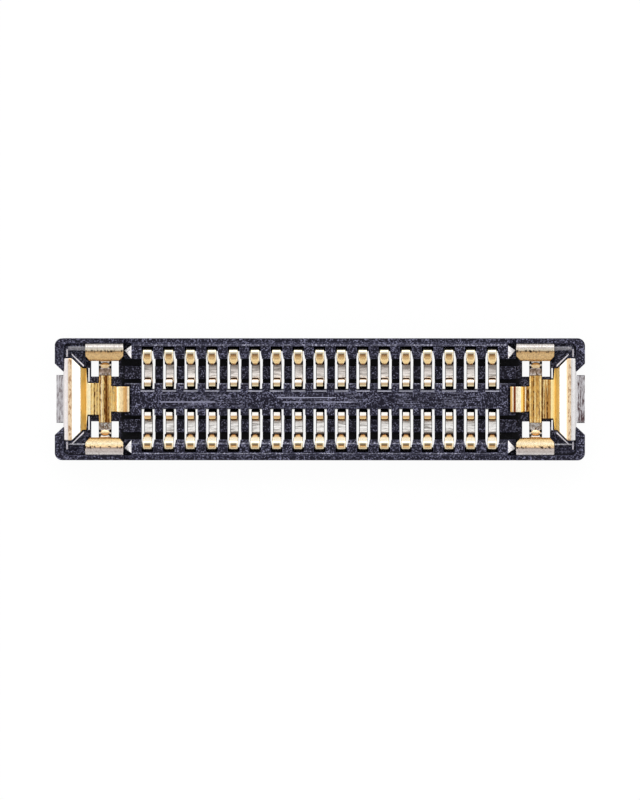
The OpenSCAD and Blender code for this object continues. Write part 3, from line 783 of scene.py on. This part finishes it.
left_gold_and_light = [
    (3.09, 255, 240, 210), (3.128, 255, 236, 200), (3.136, 220, 170, 108), (3.188, 226, 180, 116),
    (3.198, 244, 214, 160), (3.25, 252, 228, 180), (3.284, 255, 236, 196), (3.292, 255, 252, 238),
    (3.322, 255, 250, 232), (3.332, 240, 196, 112), (3.456, 206, 160, 84), (3.463, 96, 54, 14),
    (3.498, 104, 60, 18), (3.506, 226, 184, 106), (3.519, 220, 176, 98), (3.524, 104, 62, 20),
    (3.536, 110, 68, 24), (3.541, 232, 192, 118), (3.568, 255, 240, 200), (3.58, 232, 190, 112),
    (3.735, 236, 196, 118), (3.748, 255, 246, 208), (3.802, 255, 240, 190), (3.815, 255, 198, 86),
    (3.876, 255, 206, 96), (3.888, 255, 252, 240), (4.015, 255, 253, 248), (4.03, 228, 200, 164),
    (4.08, 236, 212, 182), (4.092, 226, 219, 217), (4.17, 221, 216, 216),
]
# Where each part of the plate starts and ends, and how soft its ends are
plate_parts = {
    "hook": (3.09, 3.28, 0.01), "pan": (3.345, 3.745, 0.008), "foot": (3.81, 3.88, 0.006),
    "crest": (4.03, 4.082, 0.006),
}


def fitting_flecks(place):
    """The short flecks of the rolled sheet, which break up its long streaks."""
    return use_group(rolled_sheet, place, Stretch=(1.0, 0.4, 0.4), Fineness=52.0)


def end_gold_and_light(place, axis):
    """Gold and painted light, with fine brown and pale streaks along Y where the pan and the beam lie."""
    distance = calc("ABSOLUTE", axis["X"])
    ends = [screen_ramp(distance, stops, 3.05, 4.3) for stops in (left_gold_and_light, right_gold_and_light)]
    base = mix_colour(calc("GREATER_THAN", axis["X"], 0.0), *ends)
    on = {part: inside(distance, *limits) for part, limits in plate_parts.items()}
    columns = use_group(rolled_sheet, place, Stretch=(1.0, 0.01, 0.0), Fineness=52.0)
    flecks = fitting_flecks(place)
    dotted = rising(0.35, ramp_between(flecks["Cells"], 0.2, 0.6), 0.65)
    # Dark streaks, most of them in the pan
    dark = product(ramp_between(columns["Cells"], 0.5, 0.66), dotted)
    share = rising(rising(rising(0.1, on["pan"], 0.9), on["foot"], 0.35), on["hook"], 0.2)
    colour = mix_colour(product(dark, share, clamp=True), base, srgb(88, 46, 8))
    # Pale streaks between them
    pale = product(ramp_between(columns["Cells"], 0.4, 0.24), dotted, on["pan"], 0.75)
    colour = mix_colour(pale, colour, srgb(255, 234, 172))
    # Brown spots on the crest and in the pan
    spots = rising(rising(rising(0.04, on["crest"], 0.65), on["hook"], 0.14), on["pan"], 0.3)
    return mix_colour(product(flecks["Flecks"], spots), colour, srgb(150, 100, 52))


def plate_finish():
    """The end plate, pan and hook: silver over the crest, a painted highlight on the slope and gold in the
    pan.
    """
    finish, shader, place, axis = new_finish("plate_plating_and_light", 1.0, 0.25)
    distance = calc("ABSOLUTE", axis["X"])
    flecks = fitting_flecks(place)
    # The solder tab is a dull grey with dark streaks, which are stronger at the right end
    streaks = use_group(rolled_sheet, place, Stretch=(1.0, 0.12, 0.0), Fineness=42.0)
    on_right = calc("GREATER_THAN", axis["X"], 0.0)
    strong = product(streaks["Lines"], rising(0.65, on_right, 0.45))
    strong = calc("MINIMUM", product(strong, rising(0.5, flecks["Cells"], 0.8)), 1.0)
    tab = mix_colour(strong, srgb(206, 204, 208), srgb(82, 60, 62))
    colour = mix_colour(ramp_between(distance, 4.175, 4.19), end_gold_and_light(place, axis), tab)
    feed(shader.inputs["Base Color"], colour)
    # The foot is matt, so that it stays gold from every side
    on_foot = inside(distance, *plate_parts["foot"])
    feed(shader.inputs["Roughness"], rising(0.25, on_foot, 0.3))
    feed(shader.inputs["Metallic"], rising(1.0, on_foot, -0.6))
    relief(shader, flecks["Lines"], 1.5, 0.5)
    return finish


plate_metal = plate_finish()
report_finish(plate_metal)

# %% [markdown]
# A side leaf is silver along its top and gold on the slope that faces the plug. The arms of
# the beam between the leaves are bare nickel with one low dimple each, which lies between
# four punched dots. Each row has its own list of colours, with painted light: the slope that
# faces the light is painted paler, and the folds carry dark lines of painted shade.

# %% The leaf's and the dimple's finish
back_leaf_and_light = [
    (0.385, 60, 44, 34), (0.397, 214, 206, 202), (0.44, 168, 148, 134), (0.48, 146, 128, 118),
    (0.51, 224, 214, 206), (0.605, 232, 226, 220), (0.625, 244, 212, 156), (0.66, 226, 190, 136),
    (0.72, 228, 194, 142), (0.765, 206, 168, 116), (0.781, 160, 130, 98), (0.797, 217, 206, 182),
    (0.84, 199, 193, 188), (0.92, 194, 190, 187),
]
front_leaf_and_light = [
    (0.385, 110, 100, 92), (0.397, 190, 188, 186), (0.44, 176, 172, 168), (0.50, 214, 206, 200),
    (0.605, 232, 226, 220), (0.625, 216, 176, 112), (0.67, 228, 200, 150), (0.72, 244, 230, 198),
    (0.75, 232, 208, 160), (0.775, 160, 130, 98), (0.79, 150, 134, 122), (0.815, 196, 184, 178),
    (0.86, 208, 199, 195), (0.92, 240, 236, 234),
]
dimple_middle = 0.547
arc_middle = 0.549
arc_half = (0.084, 0.05)


def leaf_finish():
    """A side leaf: silver along the top, gold on the slope, nickel arms and a gold beam, with painted light
    by row.
    """
    finish, shader, place, axis = new_finish("leaf_plating_and_light", 1.0, 0.25)
    along = calc("ABSOLUTE", axis["X"])
    distance = calc("ABSOLUTE", axis["Y"])
    rows = [screen_ramp(distance, stops, 0.2, 1.0) for stops in (front_leaf_and_light, back_leaf_and_light)]
    base = mix_colour(calc("GREATER_THAN", axis["Y"], 0.0), *rows)
    marks = use_group(rolled_sheet, place, Stretch=(1.0, 0.5, 1.0), Fineness=42.0)
    share = rising(0.14, inside(distance, 0.385, 0.495, 0.01), 0.6)
    both = calc("ADD", marks["Lines"], marks["Flecks"])
    colour = mix_colour(product(both, share, clamp=True), base, srgb(104, 84, 66))
    on_beam = ramp_between(distance, 0.384, 0.378)
    colour = mix_colour(on_beam, colour, end_gold_and_light(place, axis))
    # Dark specks gather along the fold between slope and top
    fold = product(inside(distance, 0.762, 0.8, 0.006), marks["Flecks"])
    colour = mix_colour(product(fold, 1.3, clamp=True), colour, srgb(50, 36, 26))
    # Each dimple lies under a dark arc between four punched dots
    ring = away_from(along, distance, (beam_middle, arc_middle), arc_half)
    outer = ramp_between(distance, arc_middle + 0.25 * arc_half[1], arc_middle + 0.6 * arc_half[1])
    arc = product(inside(ring, 0.8, 1.05, 0.1), outer, 0.9)
    colour = mix_colour(arc, colour, srgb(16, 10, 10))
    dots = []
    for dot_x in (beam_middle - 0.087, beam_middle + 0.087):
        for dot_y in (0.518, 0.59):
            dots.append(ramp_between(away_from(along, distance, (dot_x, dot_y)), 0.027, 0.019))
    feed(shader.inputs["Base Color"], mix_colour(highest(*dots), colour, srgb(6, 4, 6)))
    relief(shader, marks["Pits"], 2.0, 0.6)
    return finish


def dimple_finish():
    """Gold that is browner toward the middle of the connector."""
    finish, shader, place, axis = new_finish("dimple_plating", 1.0, 0.25)
    marks = use_group(rolled_sheet, place, Stretch=(1.0, 1.0, 1.0), Fineness=30.0)
    inward = ramp_between(calc("ABSOLUTE", axis["Y"]), 0.575, 0.53)
    colour = mix_colour(inward, srgb(216, 170, 110), srgb(250, 224, 180))
    colour = mix_colour(product(marks["Lines"], 0.25), colour, srgb(150, 104, 60))
    feed(shader.inputs["Base Color"], colour)
    relief(shader, marks["Pits"], 1.5, 0.5)
    return finish


leaf_metal = leaf_finish()
dimple_metal = dimple_finish()
report_finish(leaf_metal)
report_finish(dimple_metal)

# %% [markdown]
# The strips of one fitting run into each other, and a Boolean union makes them one closed
# skin. The left fitting is the right one turned half round, with its own narrower pan.

# %% Bend, unite and place the fittings
no_dent = [(0, 0), (1, 0)]


def fitting_strip(name, path, sides, finish):
    """A strip of the fitting's sheet."""
    return bend_strip(name, path, fitting_bend, fitting_sheet, fitting_edge, sides, finish, no_dent)


def fitting_parts(pan_half):
    """The three strips of the fitting at the +X end, each in its place."""
    plate = fitting_strip("plate", plate_path, [plate_side(pan_half)] * 2, plate_metal)
    plate.transform(Matrix.Rotation(-math.pi / 2, 4, "Z"))
    leaf = fitting_strip("leaf", leaf_path, leaf_sides, leaf_metal)
    leaf.transform(Matrix.Translation((leaf_middle * MM, 0.0, 0.0)))
    other = leaf.copy()
    other.transform(Matrix.Scale(-1, 4, (0, 1, 0)))
    other.flip_normals()
    return [plate, leaf, other]


def dimple_mesh(centre_y, half_length=0.078, half_width=0.04524, height=0.013, top=0.159):
    """A low dome on an arm of the cross beam."""
    work = bmesh.new()
    bmesh.ops.create_uvsphere(work, u_segments=32, v_segments=16, radius=1.0)
    scale = Matrix.Diagonal((half_length * MM, half_width * MM, height * MM, 1.0))
    work.transform(Matrix.Translation((beam_middle * MM, centre_y * MM, top * MM)) @ scale)
    for face in work.faces:
        face.smooth = True
    mesh = bpy.data.meshes.new("dimple")
    work.to_mesh(mesh)
    work.free()
    mesh.materials.append(dimple_metal)
    return mesh


def unite(name, meshes):
    """One closed skin round several closed meshes that run into each other."""
    holders = [add_object(mesh.name, mesh) for mesh in meshes]
    for other in holders[1:]:
        union = holders[0].modifiers.new("Union", "BOOLEAN")
        union.operation = "UNION"
        union.solver = "EXACT"
        union.material_mode = "TRANSFER"
        union.object = other
    return plain_mesh(name, holders)


for end, pan_half in pan_halves.items():
    parts = fitting_parts(pan_half) + [dimple_mesh(y) for y in (dimple_middle, -dimple_middle)]
    skin = unite("power_fitting_" + end, parts)
    if end == "left":
        skin.transform(Matrix.Rotation(math.pi, 4, "Z"))
    report_mesh(skin)
    add_piece("power_fitting_" + end + "_formed", skin, ["power_fitting_" + end])

# %% [markdown]
# The housing's plastic carries marks of its mould, and painted highlights and painted shade.
# Each lies in a box-shaped zone, so one helper makes a mask from the zone's limits. far_x and
# far_y are distances from the middle, for marks that are the same at both ends or in both rows.

# %% Marks, painted highlights and painted shade on the island, the edges and between the slots
contact_pitch = 0.35
trench_end = 3.24
# A distance is never this low, so a zone that starts here has no low limit
everywhere = -1.0


def zone(at, **limits):
    """The mask of a zone, with a low limit, a high limit and a softness for each direction."""
    return product(*[inside(at[direction], *span) for direction, span in limits.items()])


def panel_lines(at, grain):
    """The three shallow panels of the island keep the lines of their mould insert."""
    runs = [zone(at, x=(middle - 0.7, middle + 0.7, 0.008)) for middle in (-1.92, 0.0, 1.92)]
    panel = product(highest(*runs), zone(at, y=(-0.12, 0.12, 0.008), z=(0.43, 0.46, 0.002)))
    scored = highest(
        zone(at, x=(-0.7, 0.26, 0.01), y=(0.021, 0.034, 0.003)),
        zone(at, x=(-2.6, -1.7, 0.01), y=(-0.051, -0.038, 0.003)),
        product(zone(at, x=(-0.6, 0.6, 0.01), y=(-0.051, -0.038, 0.003)), grain["Mottling"]),
    )
    lines = rising(product(grain["Flow"], 0.2), scored, 0.8)
    return product(lines, panel, clamp=True)


def lit_edges(at, grain):
    """Long edges that catch the light, broken by the grain."""
    beside_row = (everywhere, 3.03, 0.004)
    edges = highest(
        zone(at, far_y=(0.874, 0.888, 0.003), far_x=beside_row),
        zone(at, y=(-0.724, -0.706, 0.004), far_x=beside_row),
        zone(at, y=(0.33, 0.345, 0.003)),
        zone(at, y=(-0.53, -0.516, 0.003)),
        zone(at, y=(0.243, 0.256, 0.003)),
    )
    broken = product(rising(0.3, grain["Specks"], 0.7), rising(0.1, grain["Mottling"], 0.6))
    above_floor = ramp_between(at["z"], 0.2, 0.24)
    return product(edges, above_floor, zone(at, far_x=(everywhere, trench_end, 0.004)), broken)


def slot_highlights(at):
    """A painted highlight line under each slot of the back row."""
    pitches = calc("DIVIDE", at["x"], contact_pitch)
    from_slot = calc("ABSOLUTE", calc("SUBTRACT", pitches, calc("ROUND", pitches)))
    along_row = zone(at, y=(0.128, 0.138, 0.003), z=(0.42, 0.47, 0.002), far_x=(everywhere, 2.95, 0.004))
    return product(along_row, ramp_between(from_slot, 0.34, 0.31), 0.8)


def trench_shade(at):
    """Painted shade: the trenches between the contacts are black at the bottom, but not past the end ribs.
    """
    deep = opposite(ramp_between(at["z"], 0.09, 0.2))
    past_rib = product(zone(at, far_y=(0.335, 0.535, 0.006)), ramp_between(at["far_x"], 3.05, 3.06))
    return product(deep, zone(at, far_x=(everywhere, trench_end, 0.02)), opposite(past_rib))


# %% [markdown]
# The ends have painted light of their own: glowing painted highlights beside the end plate
# and at the deck's end, painted highlights on the slopes beside the leaves, and painted shade
# on the inner wall of the rim.

# %% Painted light and shade at both ends


def glint_strips(at):
    """Painted highlights along the deck beside the end plate's slope, and at the deck's end."""
    lower = rising(product(at["far_y"], 0.712), at["far_x"], -0.702)
    upper = rising(product(at["far_y"], 0.727), at["far_x"], -0.686)
    beside_slope = product(
        ramp_between(lower, -2.328, -2.322), ramp_between(upper, -2.229, -2.236),
        zone(at, z=(0.27, 0.32, 0.005), far_x=(3.845, 4.04, 0.006)),
    )
    deck_end = zone(at, far_x=(4.1, 4.12, 0.003), far_y=(0.69, 0.815, 0.005), z=(0.28, 0.45, 0.005))
    return highest(beside_slope, deck_end)


def deck_slope_highlights(at, grain):
    """Painted highlights on the slopes down to the deck: a speckled band at the back and a thin line in
    front.
    """
    in_back = calc("GREATER_THAN", at["y"], 0.0)
    band = product(zone(at, far_y=(0.795, 0.855, 0.006)), in_back)
    thin = product(zone(at, far_y=(0.722, 0.742, 0.004)), opposite(in_back))
    beside_leaf = zone(at, far_x=(3.815, 4.095, 0.006), z=(0.27, 0.45, 0.005))
    return product(highest(band, thin), beside_leaf, rising(0.5, grain["Specks"], 0.5))


def rim_wall_shade(at):
    """Painted shade on the rim's inner wall, which runs round the corners of the mating face as a dark line.
    """
    corner_x = calc("MAXIMUM", calc("SUBTRACT", at["far_x"], 4.07), 0.0)
    corner_y = calc("MAXIMUM", calc("SUBTRACT", at["far_y"], 0.81), 0.0)
    wall = inside(away_from(corner_x, corner_y), 0.078, 0.094, 0.005)
    near_end = product(ramp_between(at["far_x"], 3.1, 3.2), zone(at, far_y=(0.66, 1.0, 0.01)))
    return product(wall, near_end, ramp_between(at["z"], 0.26, 0.28), 0.85)


# %% [markdown]
# The marks and the painted light are laid over the grain one after another. The same recipe
# makes the faces, the rounded edges with their painted highlight and the facets beside the
# leaves with their painted sheen.

# %% The housing's plastic


def plastic_finish(name, base, speck, roughness):
    """Moulded plastic with a grain of specks, the marks of its mould, and painted highlights and shade."""
    finish, shader, place, axis = new_finish(name, 0.0, roughness)
    at = {"x": axis["X"], "y": axis["Y"], "z": axis["Z"]}
    for direction in ("x", "y"):
        at["far_" + direction] = calc("ABSOLUTE", at[direction])
    grain = use_group(moulded_grain, place, Fineness=34.0)
    specks = product(grain["Specks"], rising(0.3, grain["Mottling"], 0.32))
    colour = mix_colour(specks, base, speck)
    glint = glint_strips(at)
    layers = [
        (panel_lines(at, grain), srgb(168, 168, 192)),
        (lit_edges(at, grain), srgb(214, 214, 232)),
        (slot_highlights(at), srgb(214, 214, 230)),
        (trench_shade(at), srgb(1, 1, 5)),
        (product(glint, 0.95), srgb(246, 242, 248)),
        (deck_slope_highlights(at, grain), srgb(244, 244, 255)),
        (rim_wall_shade(at), srgb(8, 6, 16)),
    ]
    for mask, tint in layers:
        colour = mix_colour(mask, colour, tint)
    feed(shader.inputs["Base Color"], colour)
    # Painted glow: the painted highlights beside the end plate also emit a little light, though they are no
    # lamp
    feed(shader.inputs["Emission Color"], mix_colour(glint, (0.0, 0.0, 0.0, 1.0), srgb(100, 98, 104)))
    shader.inputs["Emission Strength"].default_value = 1.0
    shader.inputs["Specular IOR Level"].default_value = 0.12
    relief(shader, grain["Relief"], 4.0, 0.6)
    return finish


plastics = [
    plastic_finish("housing_face", srgb(18, 16, 30), srgb(144, 144, 172), 0.5),
    # The edge plastic is a painted highlight on the rounded edges, the facet plastic a painted sheen
    plastic_finish("housing_edge_highlight", srgb(60, 60, 82), srgb(140, 140, 164), 0.4),
    plastic_finish("housing_facet_sheen", srgb(255, 253, 255), srgb(30, 28, 40), 0.35),
]
for plastic in plastics:
    report_finish(plastic)

# %% [markdown]
# The housing's solid already has every wall and slot. The finished copy gets the tiny
# rounding that a mould leaves on each edge, because black plastic catches the light there.
# The rounded faces take a paler plastic as a painted highlight.

# %% The housing
edge_highlight_slot = 1
sheen_facet_slot = 2
mould_rounding = 0.0045


def on_facet(face):
    """Whether a face is one of the small facets beside the side leaves, which get a painted sheen."""
    x, y, z = (abs(part) / MM for part in face.center)
    return 3.06 < x < 3.18 and 0.6 < y < 0.89 and z > 0.42 and 0.5 < abs(face.normal.x) < 0.9


def housing_copy(name):
    """The housing's solid with its doubles merged, its flat faces whole and its edges rounded."""
    work = bmesh.new()
    work.from_mesh(frame["nodes"]["housing"].data)
    bmesh.ops.remove_doubles(work, verts=work.verts, dist=1e-8)
    bmesh.ops.dissolve_limit(work, angle_limit=math.radians(1), verts=work.verts, edges=work.edges)
    mesh = bpy.data.meshes.new(name)
    work.to_mesh(mesh)
    work.free()
    mesh.materials.clear()
    for plastic in plastics:
        mesh.materials.append(plastic)
    holder = add_object(name, mesh)
    rounding = holder.modifiers.new("Mould rounding", "BEVEL")
    rounding.width = mould_rounding * MM
    rounding.segments = 2
    rounding.limit_method = "ANGLE"
    rounding.angle_limit = math.radians(25)
    rounding.use_clamp_overlap = False
    rounding.material = edge_highlight_slot
    finished = plain_mesh(name, [holder])
    for face in finished.polygons:
        if on_facet(face):
            face.material_index = sheen_facet_slot
    return finished


housing_mesh = housing_copy("housing_moulded")
report_mesh(housing_mesh)
add_piece("housing_moulded", housing_mesh, ["housing"])

# %% [markdown]
# The part lies on a white sheet, which glows for the camera and in reflections. A small
# share of it takes real light, which is enough for a soft shadow.

# %% The floor
floor_half = 0.3
floor_glow = 0.95


def floor_finish():
    """White to the camera and in reflections, with a small share of real light for the shadow."""
    finish = bpy.data.materials.new("floor_white")
    finish.use_nodes = True
    tree = finish.node_tree
    tree.nodes.clear()
    ray = add_node(tree, "ShaderNodeLightPath").outputs
    seen = calc("ADD", ray["Is Camera Ray"], ray["Is Glossy Ray"])
    seen = calc("ADD", seen, ray["Is Transmission Ray"], clamp=True)
    mix = add_node(tree, "ShaderNodeMixShader")
    feed(mix.inputs["Fac"], product(seen, floor_glow))
    paper = add_node(tree, "ShaderNodeBsdfDiffuse")
    paper.inputs["Color"].default_value = (0.95, 0.95, 0.95, 1.0)
    feed(mix.inputs[1], paper.outputs[0])
    feed(mix.inputs[2], add_node(tree, "ShaderNodeEmission").outputs[0])
    feed(add_node(tree, "ShaderNodeOutputMaterial").inputs["Surface"], mix.outputs[0])
    return finish


floor_mesh = bpy.data.meshes.new("floor")
floor_mesh.from_pydata(
    [(x * floor_half, y * floor_half, frame_box[0].z) for x, y in ((-1, -1), (1, -1), (1, 1), (-1, 1))],
    [], [(0, 1, 2, 3)],
)
floor_mesh.materials.append(floor_finish())
floor = add_object("floor", floor_mesh)
print("floor at z =", round(frame_box[0].z / MM, 4), "mm")

# %% [markdown]
# Metal shows what is round it. So the sky is brighter at the back than in front, a little
# stronger at both sides, and one large soft window light stands behind the part.

# %% Sky and light
sky_strength = 1.3
# Brightness of the sky from the front at -1 over straight above at 0 to the back at 1
sky_greys = [
    (-1.0, 0.75), (-0.7, 0.7), (-0.45, 0.45), (-0.2, 0.6), (0.0, 0.77), (0.2, 0.82), (0.5, 0.9), (1.0, 1.0),
]
world = bpy.data.worlds.new("studio")
bpy.context.scene.world = world
world.use_nodes = True
sky_tree = world.node_tree
sky = sky_tree.nodes["Background"]
toward = parts_of(add_node(sky_tree, "ShaderNodeTexCoord").outputs["Generated"])
sky_stops = [(place, (grey, grey, grey, 1.0)) for place, grey in sky_greys]
feed(sky.inputs["Color"], colour_ramp(toward["Y"], sky_stops, -1.0, 1.0))
at_sides = ramp_between(calc("ABSOLUTE", toward["X"]), 0.25, 0.7)
feed(sky.inputs["Strength"], rising(sky_strength, at_sides, 0.35 * sky_strength))

window_data = bpy.data.lights.new("soft_window", "AREA")
window_data.shape = "RECTANGLE"
window_data.size = 0.12
window_data.size_y = 0.06
window_data.energy = 0.045
window = add_object("soft_window", window_data)
window.location = (0.0, 0.10, 0.12)
window.rotation_euler = (Vector((0, 0, 0)) - window.location).to_track_quat("-Z", "Y").to_euler()
print("window light of", window_data.energy, "W, sky of strength", sky_strength)

# %% [markdown]
# The camera looks almost straight down, a little from the right and from the front. Its lens
# follows from the picture's scale of 61.6 pixels a millimetre.

# %% The camera
camera_distance = 0.145
picture_scale = 61.6 / MM
picture_height = 800
lean_right, lean_front = math.radians(1.5), math.radians(-0.7)
aim = Vector((0.005 * MM, -0.011 * MM, 0.5 * MM))

camera_data = bpy.data.cameras.new("camera")
camera_data.sensor_width = 36.0
camera_data.lens = camera_data.sensor_width * camera_distance / (picture_height / picture_scale)
camera_data.clip_start = 0.01
camera = add_object("camera", camera_data)
bpy.context.scene.camera = camera
backward = Vector((math.sin(lean_right), -math.sin(lean_front), 1.0)).normalized()
camera.location = aim + backward * camera_distance
right = Vector((0, 1, 0)).cross(backward).normalized()
camera.rotation_euler = Matrix((right, backward.cross(right), backward)).transposed().to_euler()
bpy.context.scene.view_settings.view_transform = "Standard"
print("lens of", round(camera_data.lens, 1), "mm at", camera_distance / MM, "mm")
